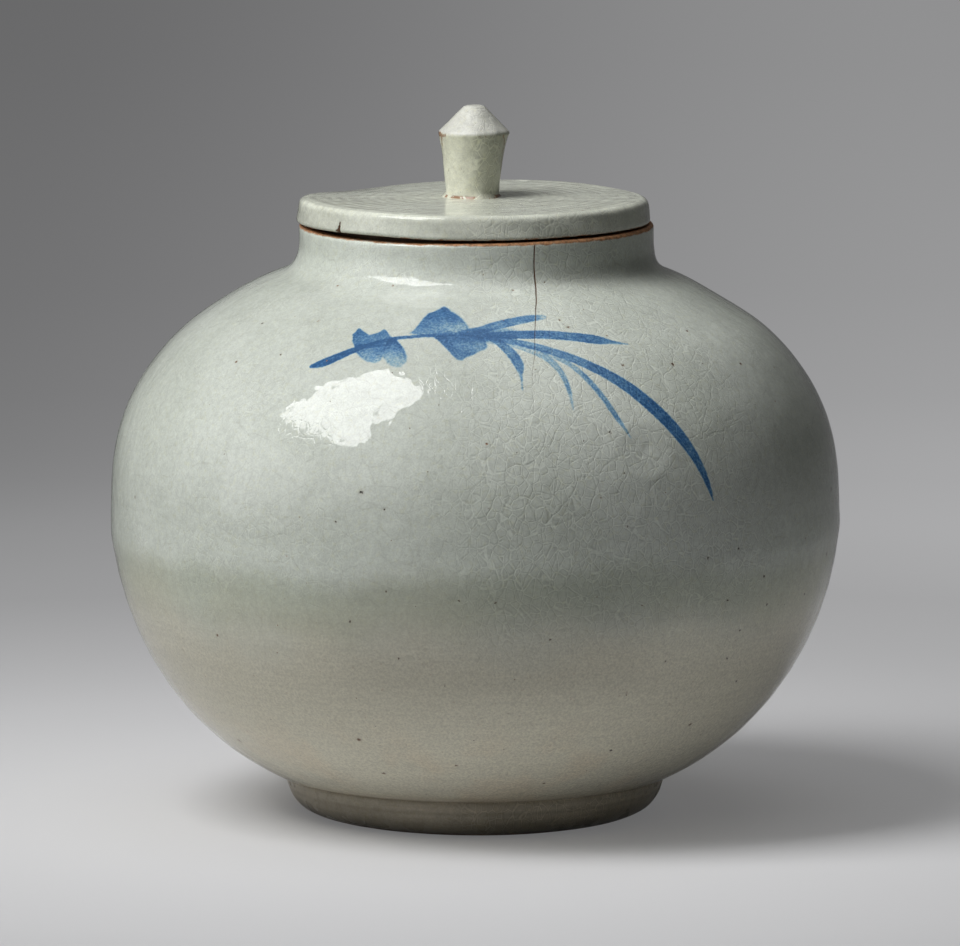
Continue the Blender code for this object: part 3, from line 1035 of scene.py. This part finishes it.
# %% Turn the foot ring
foot_contact = foot_radius - foot_tuck
quarter = np.linspace(0.0, 0.5 * math.pi, 40)[::-1]
foot_outside = np.column_stack((foot_contact + foot_tuck * np.cos(quarter),
                                foot_height * (1 - np.sin(quarter))))
overlap = 0.25
foot_top = base_height + overlap
foot_inner = foot_contact - foot_land
foot_inner_lean = 1.5
foot_inset = 0.1
foot_step = 0.45
foot_waves = [(0.12, 2, upright, 0.4), (0.06, 9, 1.0, 0.0)]
foot_outline = np.vstack((
    [(foot_inner, 0.0)], foot_outside, [(foot_radius - foot_inset, foot_top)],
    [(foot_inner - foot_inner_lean, foot_top), (foot_inner, 0.0)]))


def turned_foot(radius, height, degrees):
    """The foot's slight wobble, its full front, its groove and one small chip."""
    out = waves(np.radians(degrees), height, foot_waves)
    groove = 0.10 * hump(height - foot_height + 2.7, 0.80)
    flush = 0.45 * hump(height - foot_height, 0.9)
    low = rising(height, foot_height, -foot_height)
    full_front = 3.5 * low ** 0.7 * bump_at(degrees, 4.0, 42.0)
    chip = hump(degrees + 38.0, 2.2) * hump(height - 1.6, 1.3)
    outer = radius > foot_contact - 0.5 * foot_land
    return radius + np.where(outer, out + flush + full_front - groove - 0.6 * chip, 0.0), height


front_half = (-90.0, 90.0)
foot = turned("glazed_foot", respace(foot_outline, foot_step)[:-1],
              columns(*front_half, 0.7, 1.6), turned_foot, closed=True)

# %% Foot glaze
foot_glaze = rgba(0.530, 0.480, 0.385)
foot_glaze_deep = rgba(0.460, 0.420, 0.335)
seam_colour = rgba(0.150, 0.125, 0.090)
joint_colour = rgba(0.150, 0.110, 0.075)
wiped_clay = rgba(0.15, 0.085, 0.045)

coat = Recipe("foot_glaze")
height = coat.height
tone, roughness, relief = glaze(coat, foot_glaze, foot_glaze_deep, grain=0.06,
                                crackle_share=0.08)
streaks = coat.rings(height, 0.9, 3.0)
tone = coat.shade(tone, coat.fade(streaks, 0.3, 0.7, 0.95, 1.05))
wavering = height + coat.noise(4.0) * 0.8
seam = coat.fade(abs(wavering - (foot_height - 2.3)), 0.0, 0.9, 0.20, 0.0)
joint = coat.fade(wavering, foot_height - 1.2, foot_height - 0.1, 0.0, 0.10)
tone = coat.blend(joint, coat.blend(seam, tone, seam_colour), joint_colour)
# Painted shade towards the ground and painted light at the top, where the foot meets the body; the
# left side is painted darker and the right side lighter, for light from the floor
tone = coat.shade(tone, coat.fade(height, 0.5, 9.0, 0.55, 1.12))
tone = coat.shade(tone, coat.toward(1.0, 0.0, -0.9, 0.9, 0.74, 1.28))
bare = coat.fade(height + coat.noise(3.0, detail=3.0) * 1.2, 0.6, 2.1, 1.0, 0.0)
tone = coat.blend(bare, tone, coat.shade(wiped_clay, coat.fade(streaks, 0.3, 0.7, 0.6, 1.4)))
coat.shader.inputs["Specular IOR Level"].default_value = 0.15
coat.finish(tone, roughness + 0.25 + bare * 0.45, relief + streaks * 0.03, foot)

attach(foot, "jar")
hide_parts("foot_ring")

# %% [markdown]
# ## The lid
# The lid is a flat slab, cut round and trimmed on the wheel, which leaves rings on its top. It
# sagged at the back in the kiln and lifted a little at the front left, so the dark gap over the
# rim is widest there. A bent slab could come from a Lattice, but the sag is simply written as
# a change of height by direction.

# %% Turn the lid slab
lid_gap = 0.3
lid_bottom = rim_height + lid_gap
lid_thickness = 6.9
lid_top = lid_bottom + lid_thickness
lid_radius = neck_radius
lid_lean = 0.9
lower_round = 1.2
upper_round = 2.2
slab_corners = [(0.0, lid_bottom), (lid_radius, lid_bottom), (lid_radius - lid_lean, lid_top),
                (0.0, lid_top)]
slab_outline = np.vstack((slab_corners[:1], soft_corner(*slab_corners[:3], lower_round),
                          soft_corner(*slab_corners[1:], upper_round), slab_corners[3:]))
lid_sags = [(-148.0, 36.0, -1.05), (-130.0, 22.0, -1.30), (178.0, 30.0, -0.35),
            (118.0, 28.0, -0.50)]
lid_lifts = [(-42.0, 26.0, 0.55), (40.0, 30.0, 0.30)]
lid_waves = [(0.22, 2, upright, -0.6), (0.12, 5, upright, 1.0), (-0.45, 1, upright, 0.0),
             (0.07, 11, 1.0, 0.0)]


def by_direction(degrees, changes):
    """Several changes, each about a direction, with its spread and its height."""
    return sum(depth * bump_at(degrees, middle, spread) for middle, spread, depth in changes)


def sagged(radius, height, degrees):
    """Radius and height of the slab's points after trimming and firing."""
    turn = np.radians(degrees)
    share = rising(radius, 0.0, lid_radius)
    top_share = rising(height, lid_bottom, lid_thickness)
    sag = by_direction(degrees, lid_sags)
    lift = by_direction(degrees, lid_lifts)
    trim = 0.05 * np.sin(radius * 1.9 + 0.8 * np.sin(turn)) + 0.03 * np.sin(radius * 3.7 + turn)
    uneven = 0.10 * np.sin(3 * turn + radius / 9.0) * share + trim
    rise = top_share * (sag * share ** 3 + uneven) + (1 - top_share) * lift * share ** 2
    nibbles = np.clip(np.sin(37 * turn) + np.sin(23 * turn + 1.0) - 0.5, 0.0, 1.0)
    nibbled = bump_at(degrees, 74.0, 24.0) + 0.5 * bump_at(degrees, -92.0, 30.0)
    out = waves(turn, height, lid_waves) - 0.30 * nibbles * top_share * nibbled
    chip = 0.45 * hump((degrees + 49.8) * 0.84, 0.55) * hump(height - 163.6, 1.1)
    pit = 0.5 * hump((degrees - 162.0) * 0.7, 1.1) * hump(radius - 43.0, 1.0)
    return radius + (out - chip) * share ** 6, height + rise - pit * top_share


def slab_step(radius, height):
    """Rows close together at the rounded edge."""
    return np.where(radius > lid_radius - 4.0, 0.32, 1.0)


lid = turned("glazed_lid", respace(slab_outline, slab_step), columns(*front_half, 0.9, 1.5), sagged)

# %% [markdown]
# ## The ring under the lid
# A ring of bare clay under the slab drops inside the neck, 1.5 mm clear all round, and keeps the
# lid centred. It is left unglazed, so that it can't stick in the firing, and it fires rusty.

# %% Turn the lid's ring
ring_clearance = 1.5
ring_width = 4.5
ring_depth = 7.5
ring_round = 1.2
ring_overlap = 0.3
ring_outer = inner_neck - ring_clearance
ring_inner = ring_outer - ring_width
ring_bottom = lid_bottom - ring_depth
ring_top = lid_bottom + ring_overlap
ring_corners = [(ring_inner, ring_top), (ring_inner, ring_bottom), (ring_outer, ring_bottom),
                (ring_outer, ring_top)]
ring_outline = np.vstack((soft_corner(*ring_corners[:3], ring_round),
                          soft_corner(*ring_corners[1:], ring_round),
                          ring_corners[3:], ring_corners[:1]))
ring_outline = np.vstack((ring_outline, ring_outline[:1]))


def hand_laid(radius, height, degrees):
    """The coil's finger marks."""
    turn = np.radians(degrees)
    out = waves(turn, height, [(0.15, 3, upright, 0.0), (0.10, 7, 3.0, 0.0)])
    low = rising(height, lid_bottom, -ring_depth)
    return radius + out * low, height + 0.15 * low * np.sin(5 * turn + 1.0)


ring_step = 0.8
lid_ring = turned("clay_lid_ring", respace(ring_outline, ring_step)[:-1],
                  columns(*front_half, 1.5, 1.5), hand_laid, closed=True)

# %% [markdown]
# ## The knob
# The knob flares up from the slab to a sharp ridge, and a low cone closes it. Glaze ran down and
# pooled round its foot, and it thinned over the ridge, where the clay fires through.

# %% Turn the knob
knob_lift = 0.3
knob_sunk = 0.5
knob_bottom = lid_top + knob_lift
knob_height = 25.3
knob_base_radius = 7.4
knob_foot_flare = 1.3
knob_foot_height = 1.6
knob_band_inset = 0.4
knob_band_drop = 1.5
knob_ridge_radius = 9.8
knob_ridge_height = 18.0
knob_tip_radius = 2.6
knob_bend = (knob_base_radius + 0.28 * (knob_ridge_radius - knob_base_radius),
             0.62 * knob_ridge_height)
knob_tip = (knob_tip_radius, knob_height)
knob_ridge = (knob_ridge_radius, knob_ridge_height)
knob_band = (knob_ridge_radius - knob_band_inset, knob_ridge_height - knob_band_drop)
knob_stem = bend((knob_base_radius, knob_foot_height), knob_bend,
                 np.array(knob_band) - (0.08, 0.5))
knob_foot = bend((knob_base_radius + knob_foot_flare, -knob_sunk), (knob_base_radius, -0.1),
                 knob_stem[0])
knob_outline = np.vstack((
    [(0.0, -knob_sunk)], knob_foot, knob_stem[1:-1],
    soft_corner(knob_stem[-1], knob_band, knob_ridge, 0.4),
    soft_corner(knob_band, knob_ridge, knob_tip, 0.8),
    soft_corner(knob_ridge, knob_tip, (0.0, knob_height), 1.0), [(0.0, knob_height)]))
knob_outline += (0.0, knob_bottom)
ridge_height = knob_bottom + knob_ridge_height
knob_waves = [(0.10, 2, upright, 0.5), (0.07, 5, 3.0, 0.0), (0.05, 9, -1.7, 0.0)]


def pinched(radius, height, degrees):
    """The knob's finger marks and its worn ridge."""
    turn = np.radians(degrees)
    up = height - knob_bottom
    out = waves(turn, up, knob_waves)
    on_ridge = hump(up - knob_ridge_height, 1.0)
    out += on_ridge * (0.12 * np.sin(4 * turn + 2.0) + 0.08 * np.sin(13 * turn))
    share = rising(radius, 0.0, knob_base_radius)
    tilt = 0.09 * np.sin(turn + 1.4) * rising(up, 12.0, 6.0) * share
    out -= np.interp(up, (0.0, knob_ridge_height), (0.75, 0.35)) * np.sin(turn)
    pool = hump(np.maximum(up, 0.0), 1.0) * 0.35 * np.sin(3 * turn + 0.6)
    sunk = 0.55 * rising(up, 0.0, knob_ridge_height)
    wavy = 0.12 * share * on_ridge * np.sin(3 * turn)
    return radius + (out + pool) * share, height - sunk + tilt + wavy


knob_step = 0.3
knob = turned("glazed_knob", respace(knob_outline, knob_step),
              columns(*front_half, 2.5, 2.5), pinched)

# %% [markdown]
# ## Finishes of the lid
# The lid wears the jar's glaze, a little duller on top where dust and steam settled on it. Along
# the slab's lower edge the glaze pulled back from the clay, and the fire turned that line brown.

# %% Nicks, specks and runs of the lid and the knob
def on_lid(degrees, radius):
    """The point on the slab's top at a direction and a radius."""
    return place_at(degrees, radius, lid_top)


def on_lid_edge(degrees, height):
    """The point on the slab's edge at a direction and a height."""
    return place_at(degrees, lid_radius, height)


knob_side = knob_outline[knob_outline[:, 1] > knob_bottom + 1.0]


def on_knob(degrees, height):
    """The point on the knob's outer face at a direction and a height."""
    radius, height = pinched(np.interp(height, knob_side[:, 1], knob_side[:, 0]), height, degrees)
    return place_at(degrees, radius, height)


lid_points = points_of(lid)
nicks = {
    "nick_left": [(-49.4, 166.0, 0.30, 0.9), (-49.8, 164.6, 0.50, 1.0), (-50.8, 163.3, 0.45, 1.0)],
    "nick_right": [(-49.7, 164.9, 0.40, 0.9), (-49.5, 164.1, 0.45, 1.0), (-49.1, 163.2, 0.40, 1.0)]}
for name, route in nicks.items():
    carry(lid, name, stroke(lid_points, route, on_lid_edge))
draw = np.random.default_rng(5)
lid_specks = [(draw.uniform(-180, 180), lid_radius * math.sqrt(draw.random()) - 2.0,
               0.14 + 0.22 * draw.random() ** 2, draw.choice([0.0, 0.3, 0.7])) for _ in range(70)]
carry_specks(lid, lid_points, lid_specks, on_lid)

knob_points = points_of(knob)
below_ridge = ridge_height - 0.7
knob_runs = {
    "worn_ridge": [(-98.0, below_ridge + 0.4, 0.9, 0.9), (-80.0, below_ridge + 0.2, 1.4, 1.0),
                   (-64.0, below_ridge, 1.0, 0.8), (-54.0, below_ridge, 0.4, 0.6)],
    "rust_run": [(-68.0, below_ridge, 1.1, 0.9), (-74.0, below_ridge - 1.6, 0.9, 0.8),
                 (-77.0, below_ridge - 3.2, 0.6, 0.7), (-78.0, below_ridge - 5.0, 0.3, 0.5)],
    "right_run": [(58.0, below_ridge, 0.7, 0.6), (66.0, below_ridge - 2.0, 0.45, 0.6),
                  (70.0, below_ridge - 7.0, 0.35, 0.5), (74.0, below_ridge - 12.0, 0.3, 0.4)]}
for name, route in knob_runs.items():
    carry(knob, name, stroke(knob_points, route, on_knob, ridge_height))
print("the lid carries", len(lid_specks), "specks, and the knob", len(knob_runs), "worn places")

# %% Lid glaze
lid_glaze = rgba(0.700, 0.725, 0.635)
lid_glaze_deep = rgba(0.620, 0.640, 0.550)

coat = Recipe("lid_glaze")
height = coat.height
tone, roughness, relief = glaze(coat, lid_glaze, lid_glaze_deep, grain=0.07, crackle_share=0.15)

# Rings of trimming on the top. The top is also painted lighter, most at its left and right ends,
# for the light and reflections that it catches.
on_top = coat.fade(height, lid_top - 1.8, lid_top - 0.5)
top_rings = coat.rings(coat.radius, 1.6, 7.0)
to_the_ends = abs(coat.vector("DOT_PRODUCT", coat.facing, (1.0, 0.0, 0.0)))
rings_and_painted_light = coat.fade(to_the_ends, 0.2, 0.9, 1.05, 1.18) * coat.fade(top_rings, 0.3, 0.7, 0.90, 1.08)
tone = coat.blend(on_top, tone, coat.shade(tone, rings_and_painted_light))
relief += top_rings * on_top * 0.05
roughness += on_top * 0.06

# Bare clay along the lower edge and under the slab
pulled = height + coat.wobble(2.6, 2.2, detail=3.0)
bare = coat.fade(pulled, lid_bottom + 0.15, lid_bottom + 0.55, 1.0, 0.0)
under = coat.fade(coat.radius, lid_radius - 3.0, lid_radius - 2.0, 1.0, 0.0)
under *= coat.fade(height, lid_bottom + 1.2, lid_bottom + 1.8, 1.0, 0.0)
bare = coat.number("MAXIMUM", bare, under)
clay_grain = coat.fade(coat.noise(0.9, detail=3.0), 0.3, 0.7, 0.45, 1.4)
tone = coat.blend(bare, tone, coat.shade(rust_clay, clay_grain))
roughness += bare * 0.4

ragged = coat.wobble(0.6, 0.5)
for name in nicks:
    split = coat.line(name, ragged, -0.05, 0.15)
    tone = coat.blend(split, tone, crack_colour)
    relief -= split * 0.2
tone, roughness, relief = speckled(coat, tone, roughness, relief)
coat.finish(tone, roughness, relief, lid)

# %% Knob glaze
knob_glaze = rgba(0.730, 0.735, 0.620)
knob_glaze_deep = rgba(0.660, 0.665, 0.540)
cone_tint = (0.98, 0.98, 1.09)
iron_colour = rgba(0.22, 0.19, 0.14)
worn_colour = rgba(0.25, 0.105, 0.040)

coat = Recipe("knob_glaze")
height = coat.height
tone, roughness, relief = glaze(coat, knob_glaze, knob_glaze_deep, grain=0.09, crackle_share=0.12)
on_cone = coat.fade(height, ridge_height - 1.0, ridge_height - 0.2)
tone = coat.blend(on_cone, tone, coat.vector("MULTIPLY", tone, cone_tint))
# Painted shade on the stem's right side, away from the lamp; the cone is left out
painted_shade_side = coat.toward(0.98, -0.20, 0.10, 0.75, 0.0, -0.30) * (1.0 - on_cone)
tone = coat.shade(tone, painted_shade_side + 1.0)
iron = coat.fade(coat.noise(1.1, roughness=0.6), 0.66, 0.74, 0.0, 0.5)
tone = coat.blend(iron, tone, iron_colour)

# Clay shows in worn places along the ridge, down the runs, round the foot and at the tip
worn_noise = coat.noise(3.5, detail=3.0, roughness=0.6)
ridge_line = coat.fade(abs(height - (ridge_height - 0.8)), 0.2, 0.8, 1.0, 0.0)
foot_line = coat.fade(abs(height - (knob_bottom + 0.1)), 0.15, 0.6, 1.0, 0.0)
tip_line = coat.fade(height, knob_bottom + 24.7, knob_bottom + 25.1)
tip_line *= coat.fade(coat.radius, 1.9, 2.4)
ragged = coat.wobble(0.8, 1.3)
worn_places = [ridge_line * coat.fade(worn_noise, 0.67, 0.73),
               foot_line * coat.fade(worn_noise, 0.48, 0.54),
               tip_line * coat.fade(worn_noise, 0.48, 0.58)]
worn_places += [coat.line(name, ragged, -0.15, 0.15) for name in knob_runs]
worn = 0.0
for place in worn_places:
    worn = coat.number("MAXIMUM", worn, place)
tone = coat.blend(worn * 0.85, tone, worn_colour)
coat.finish(tone, roughness + on_cone * 0.25, relief, knob)

# %% Bare clay of the lid's ring
fired_clay = rgba(0.42, 0.235, 0.130)
flashed_clay = rgba(0.52, 0.34, 0.21)

clay = Recipe("bare_clay")
grit = clay.noise(0.8, detail=4.0, roughness=0.65)
tone = clay.blend(clay.fade(clay.noise(14.0), 0.35, 0.65), fired_clay, flashed_clay)
tone = clay.shade(tone, clay.fade(grit, 0.3, 0.7, 0.75, 1.2))
# Painted shade on the ring's top, in the dark gap under the slab
tone = clay.shade(tone, clay.fade(clay.height, lid_bottom - 4.0, lid_bottom - 1.5, 1.0, 0.3))
clay.finish(tone, clay.fade(grit, 0.3, 0.7, 0.62, 0.85), grit * 0.12, lid_ring)

for piece, node, slot in ((lid, "lid_plate", "lid_glaze"), (knob, "lid_knob", "lid_glaze"),
                          (lid_ring, "lid_locating_ring", "bare_clay")):
    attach(piece, "lid")
    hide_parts(node)

# %% [markdown]
# ## Floor
# The photograph stands the jar on a pale sheet that runs back a long way and darkens with the
# distance from the lamp. So the floor here is one wide disc of plain matt paper. Near the jar it
# is mostly lit by the lamps and keeps the jar's shadow, but a share of its tone glows for the
# camera and lifts that shadow. Further off its tone is a glow that only the camera and a reflection
# see, and the paper there throws hardly any light back at the jar.

# %% Lay the floor
floor_reach = 30000.0
floor_depth = 0.05
around_floor = np.arange(0.0, 360.0, 6.0)
floor_points = place_at(around_floor, floor_reach, -floor_depth)
floor_mesh = bpy.data.meshes.new("floor")
floor_mesh.from_pydata((floor_points * mm).tolist(), [], [list(range(len(around_floor)))])
floor = new_object("floor", floor_mesh)
floor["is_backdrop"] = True
print("the floor is", round(2 * floor_reach * mm), "m across")

# %% The floor's tone
paper_reach = 4000.0
paper_blue = 1.015
tone_steps = [(0.000, 0.710), (0.032, 0.690), (0.055, 0.625), (0.078, 0.530), (0.105, 0.420),
              (0.130, 0.375), (0.172, 0.325), (0.225, 0.287), (0.300, 0.262), (0.500, 0.236),
              (0.750, 0.222), (1.000, 0.217)]
paper_steps = [(at, rgba(level, level, paper_blue * level)) for at, level in tone_steps]
mirrored_share = 0.35

paper = Recipe("paper")
paper_tone = paper.ramp(paper.radius / paper_reach, paper_steps)
# Painted light on the paper: away from the jar it is lighter to the right and darker to the left
sideways = paper.fade(paper.rightward, -230.0, 230.0, -1.0, 1.0)
sideways *= paper.fade(paper.radius, 200.0, 800.0, 0.0, 0.33)
sideways *= paper.fade(paper.radius, 2600.0, 9000.0, 1.0, 0.0)
paper_tone = paper.shade(paper_tone, sideways + 1.0)
# The glow is painted light: a fifth of the tone near the jar, which lifts its shadow, and most of
# it far off
lit_share = paper.fade(paper.radius, 230.0, 600.0, 0.82, 0.12)
fibres = paper.noise(1.5, detail=3.0)
ray = paper.add("LightPath", {})
mirrored = paper.number("MULTIPLY", ray.outputs["Is Glossy Ray"], mirrored_share)
seen = paper.number("MAXIMUM", ray.outputs["Is Camera Ray"], mirrored)
paper.feed(paper.shader.inputs["Specular IOR Level"], 0.0)
paper.feed(paper.shader.inputs["Emission Color"], paper.shade(paper_tone, 1.0 - lit_share))
paper.feed(paper.shader.inputs["Emission Strength"], seen)
paper.finish(paper.shade(paper_tone, lit_share), paper.fade(fibres, 0.3, 0.7, 0.85, 0.95),
             fibres * 0.02, floor)

# %% [markdown]
# ## Light
# The highlight on the shoulder is the lamp's own picture: a tall soft panel, high on the left
# and turned two degrees about its own axis. From the highlight's corners its place follows.
# The studio round it gives a weak light from above. A dim panel behind on the right draws the
# far edge, and one far out on the left fills the left side.

# %% Set the lamps
def panel(name, middle, emits, width, height, power):
    """A soft rectangular panel that emits along a direction; sizes in millimetres."""
    light = bpy.data.lights.new(name, "AREA")
    light.shape = "RECTANGLE"
    light.size = width * mm
    light.size_y = height * mm
    light.energy = power
    lamp = new_object(name, light)
    lamp.location = Vector(middle) * mm
    lamp.rotation_euler = Vector(emits).to_track_quat("-Z", "Y").to_euler()
    lamp.visible_camera = False
    print(name, "is", round(lamp.location.length, 2), "m from the foot")
    return lamp


key_tilt = 2.0
key = panel("key panel", (-549.0, -346.0, 1173.0), (0.903, 0.296, -0.313),
            width=545.0, height=980.0, power=17.2)
key.rotation_euler.rotate_axis("Z", math.radians(key_tilt))
rear = panel("rear panel", (800.0, 2200.0, 900.0), (-0.32, -0.88, -0.32),
             width=1000.0, height=1400.0, power=0.9)
rear.visible_glossy = False
panel("side panel", (-2150.0, -700.0, 560.0), (0.93, 0.30, -0.15),
      width=1200.0, height=1400.0, power=6.5)

# %% Set the studio round the jar
ceiling_light = 0.80
wall_light = 0.02
mirrored_wall = 0.07
backdrop_tone = 0.22

studio = bpy.data.worlds.new("studio")
studio.use_nodes = True
bpy.context.scene.world = studio
sky = Wiring(studio.node_tree)
way = sky.add("SeparateXYZ", {0: sky.add("TexCoord", {}).outputs["Generated"]})
ray = sky.add("LightPath", {})
from_above = sky.fade(way.outputs["Z"], 0.80, 1.0, wall_light, ceiling_light)
from_behind = sky.fade(way.outputs["Y"], 0.6, 0.95, 0.0, mirrored_wall)
studio_light = from_behind * ray.outputs["Is Glossy Ray"] + from_above
shown = sky.add("Mix", {0: ray.outputs["Is Camera Ray"], 2: studio_light, 3: backdrop_tone})
sky.feed(sky.nodes["Background"].inputs["Color"], shown.outputs[0])

bpy.context.scene.view_settings.view_transform = "Standard"
print("the studio gives", ceiling_light, "from above and", wall_light, "from its walls")

# %% [markdown]
# ## The box round the jar
# The sizes before and after show how far the dents, the sag and the pooled glaze move the box
# round the jar: a quarter of a millimetre past the imported one at most, so that it fits wherever
# the imported one does.

# %% Write the sizes and finish
shown_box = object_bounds()
for name, (low, high) in (("packed", cad_box), ("shown", shown_box)):
    print(name, "box in mm:", [round(length / mm, 2) for length in high - low])
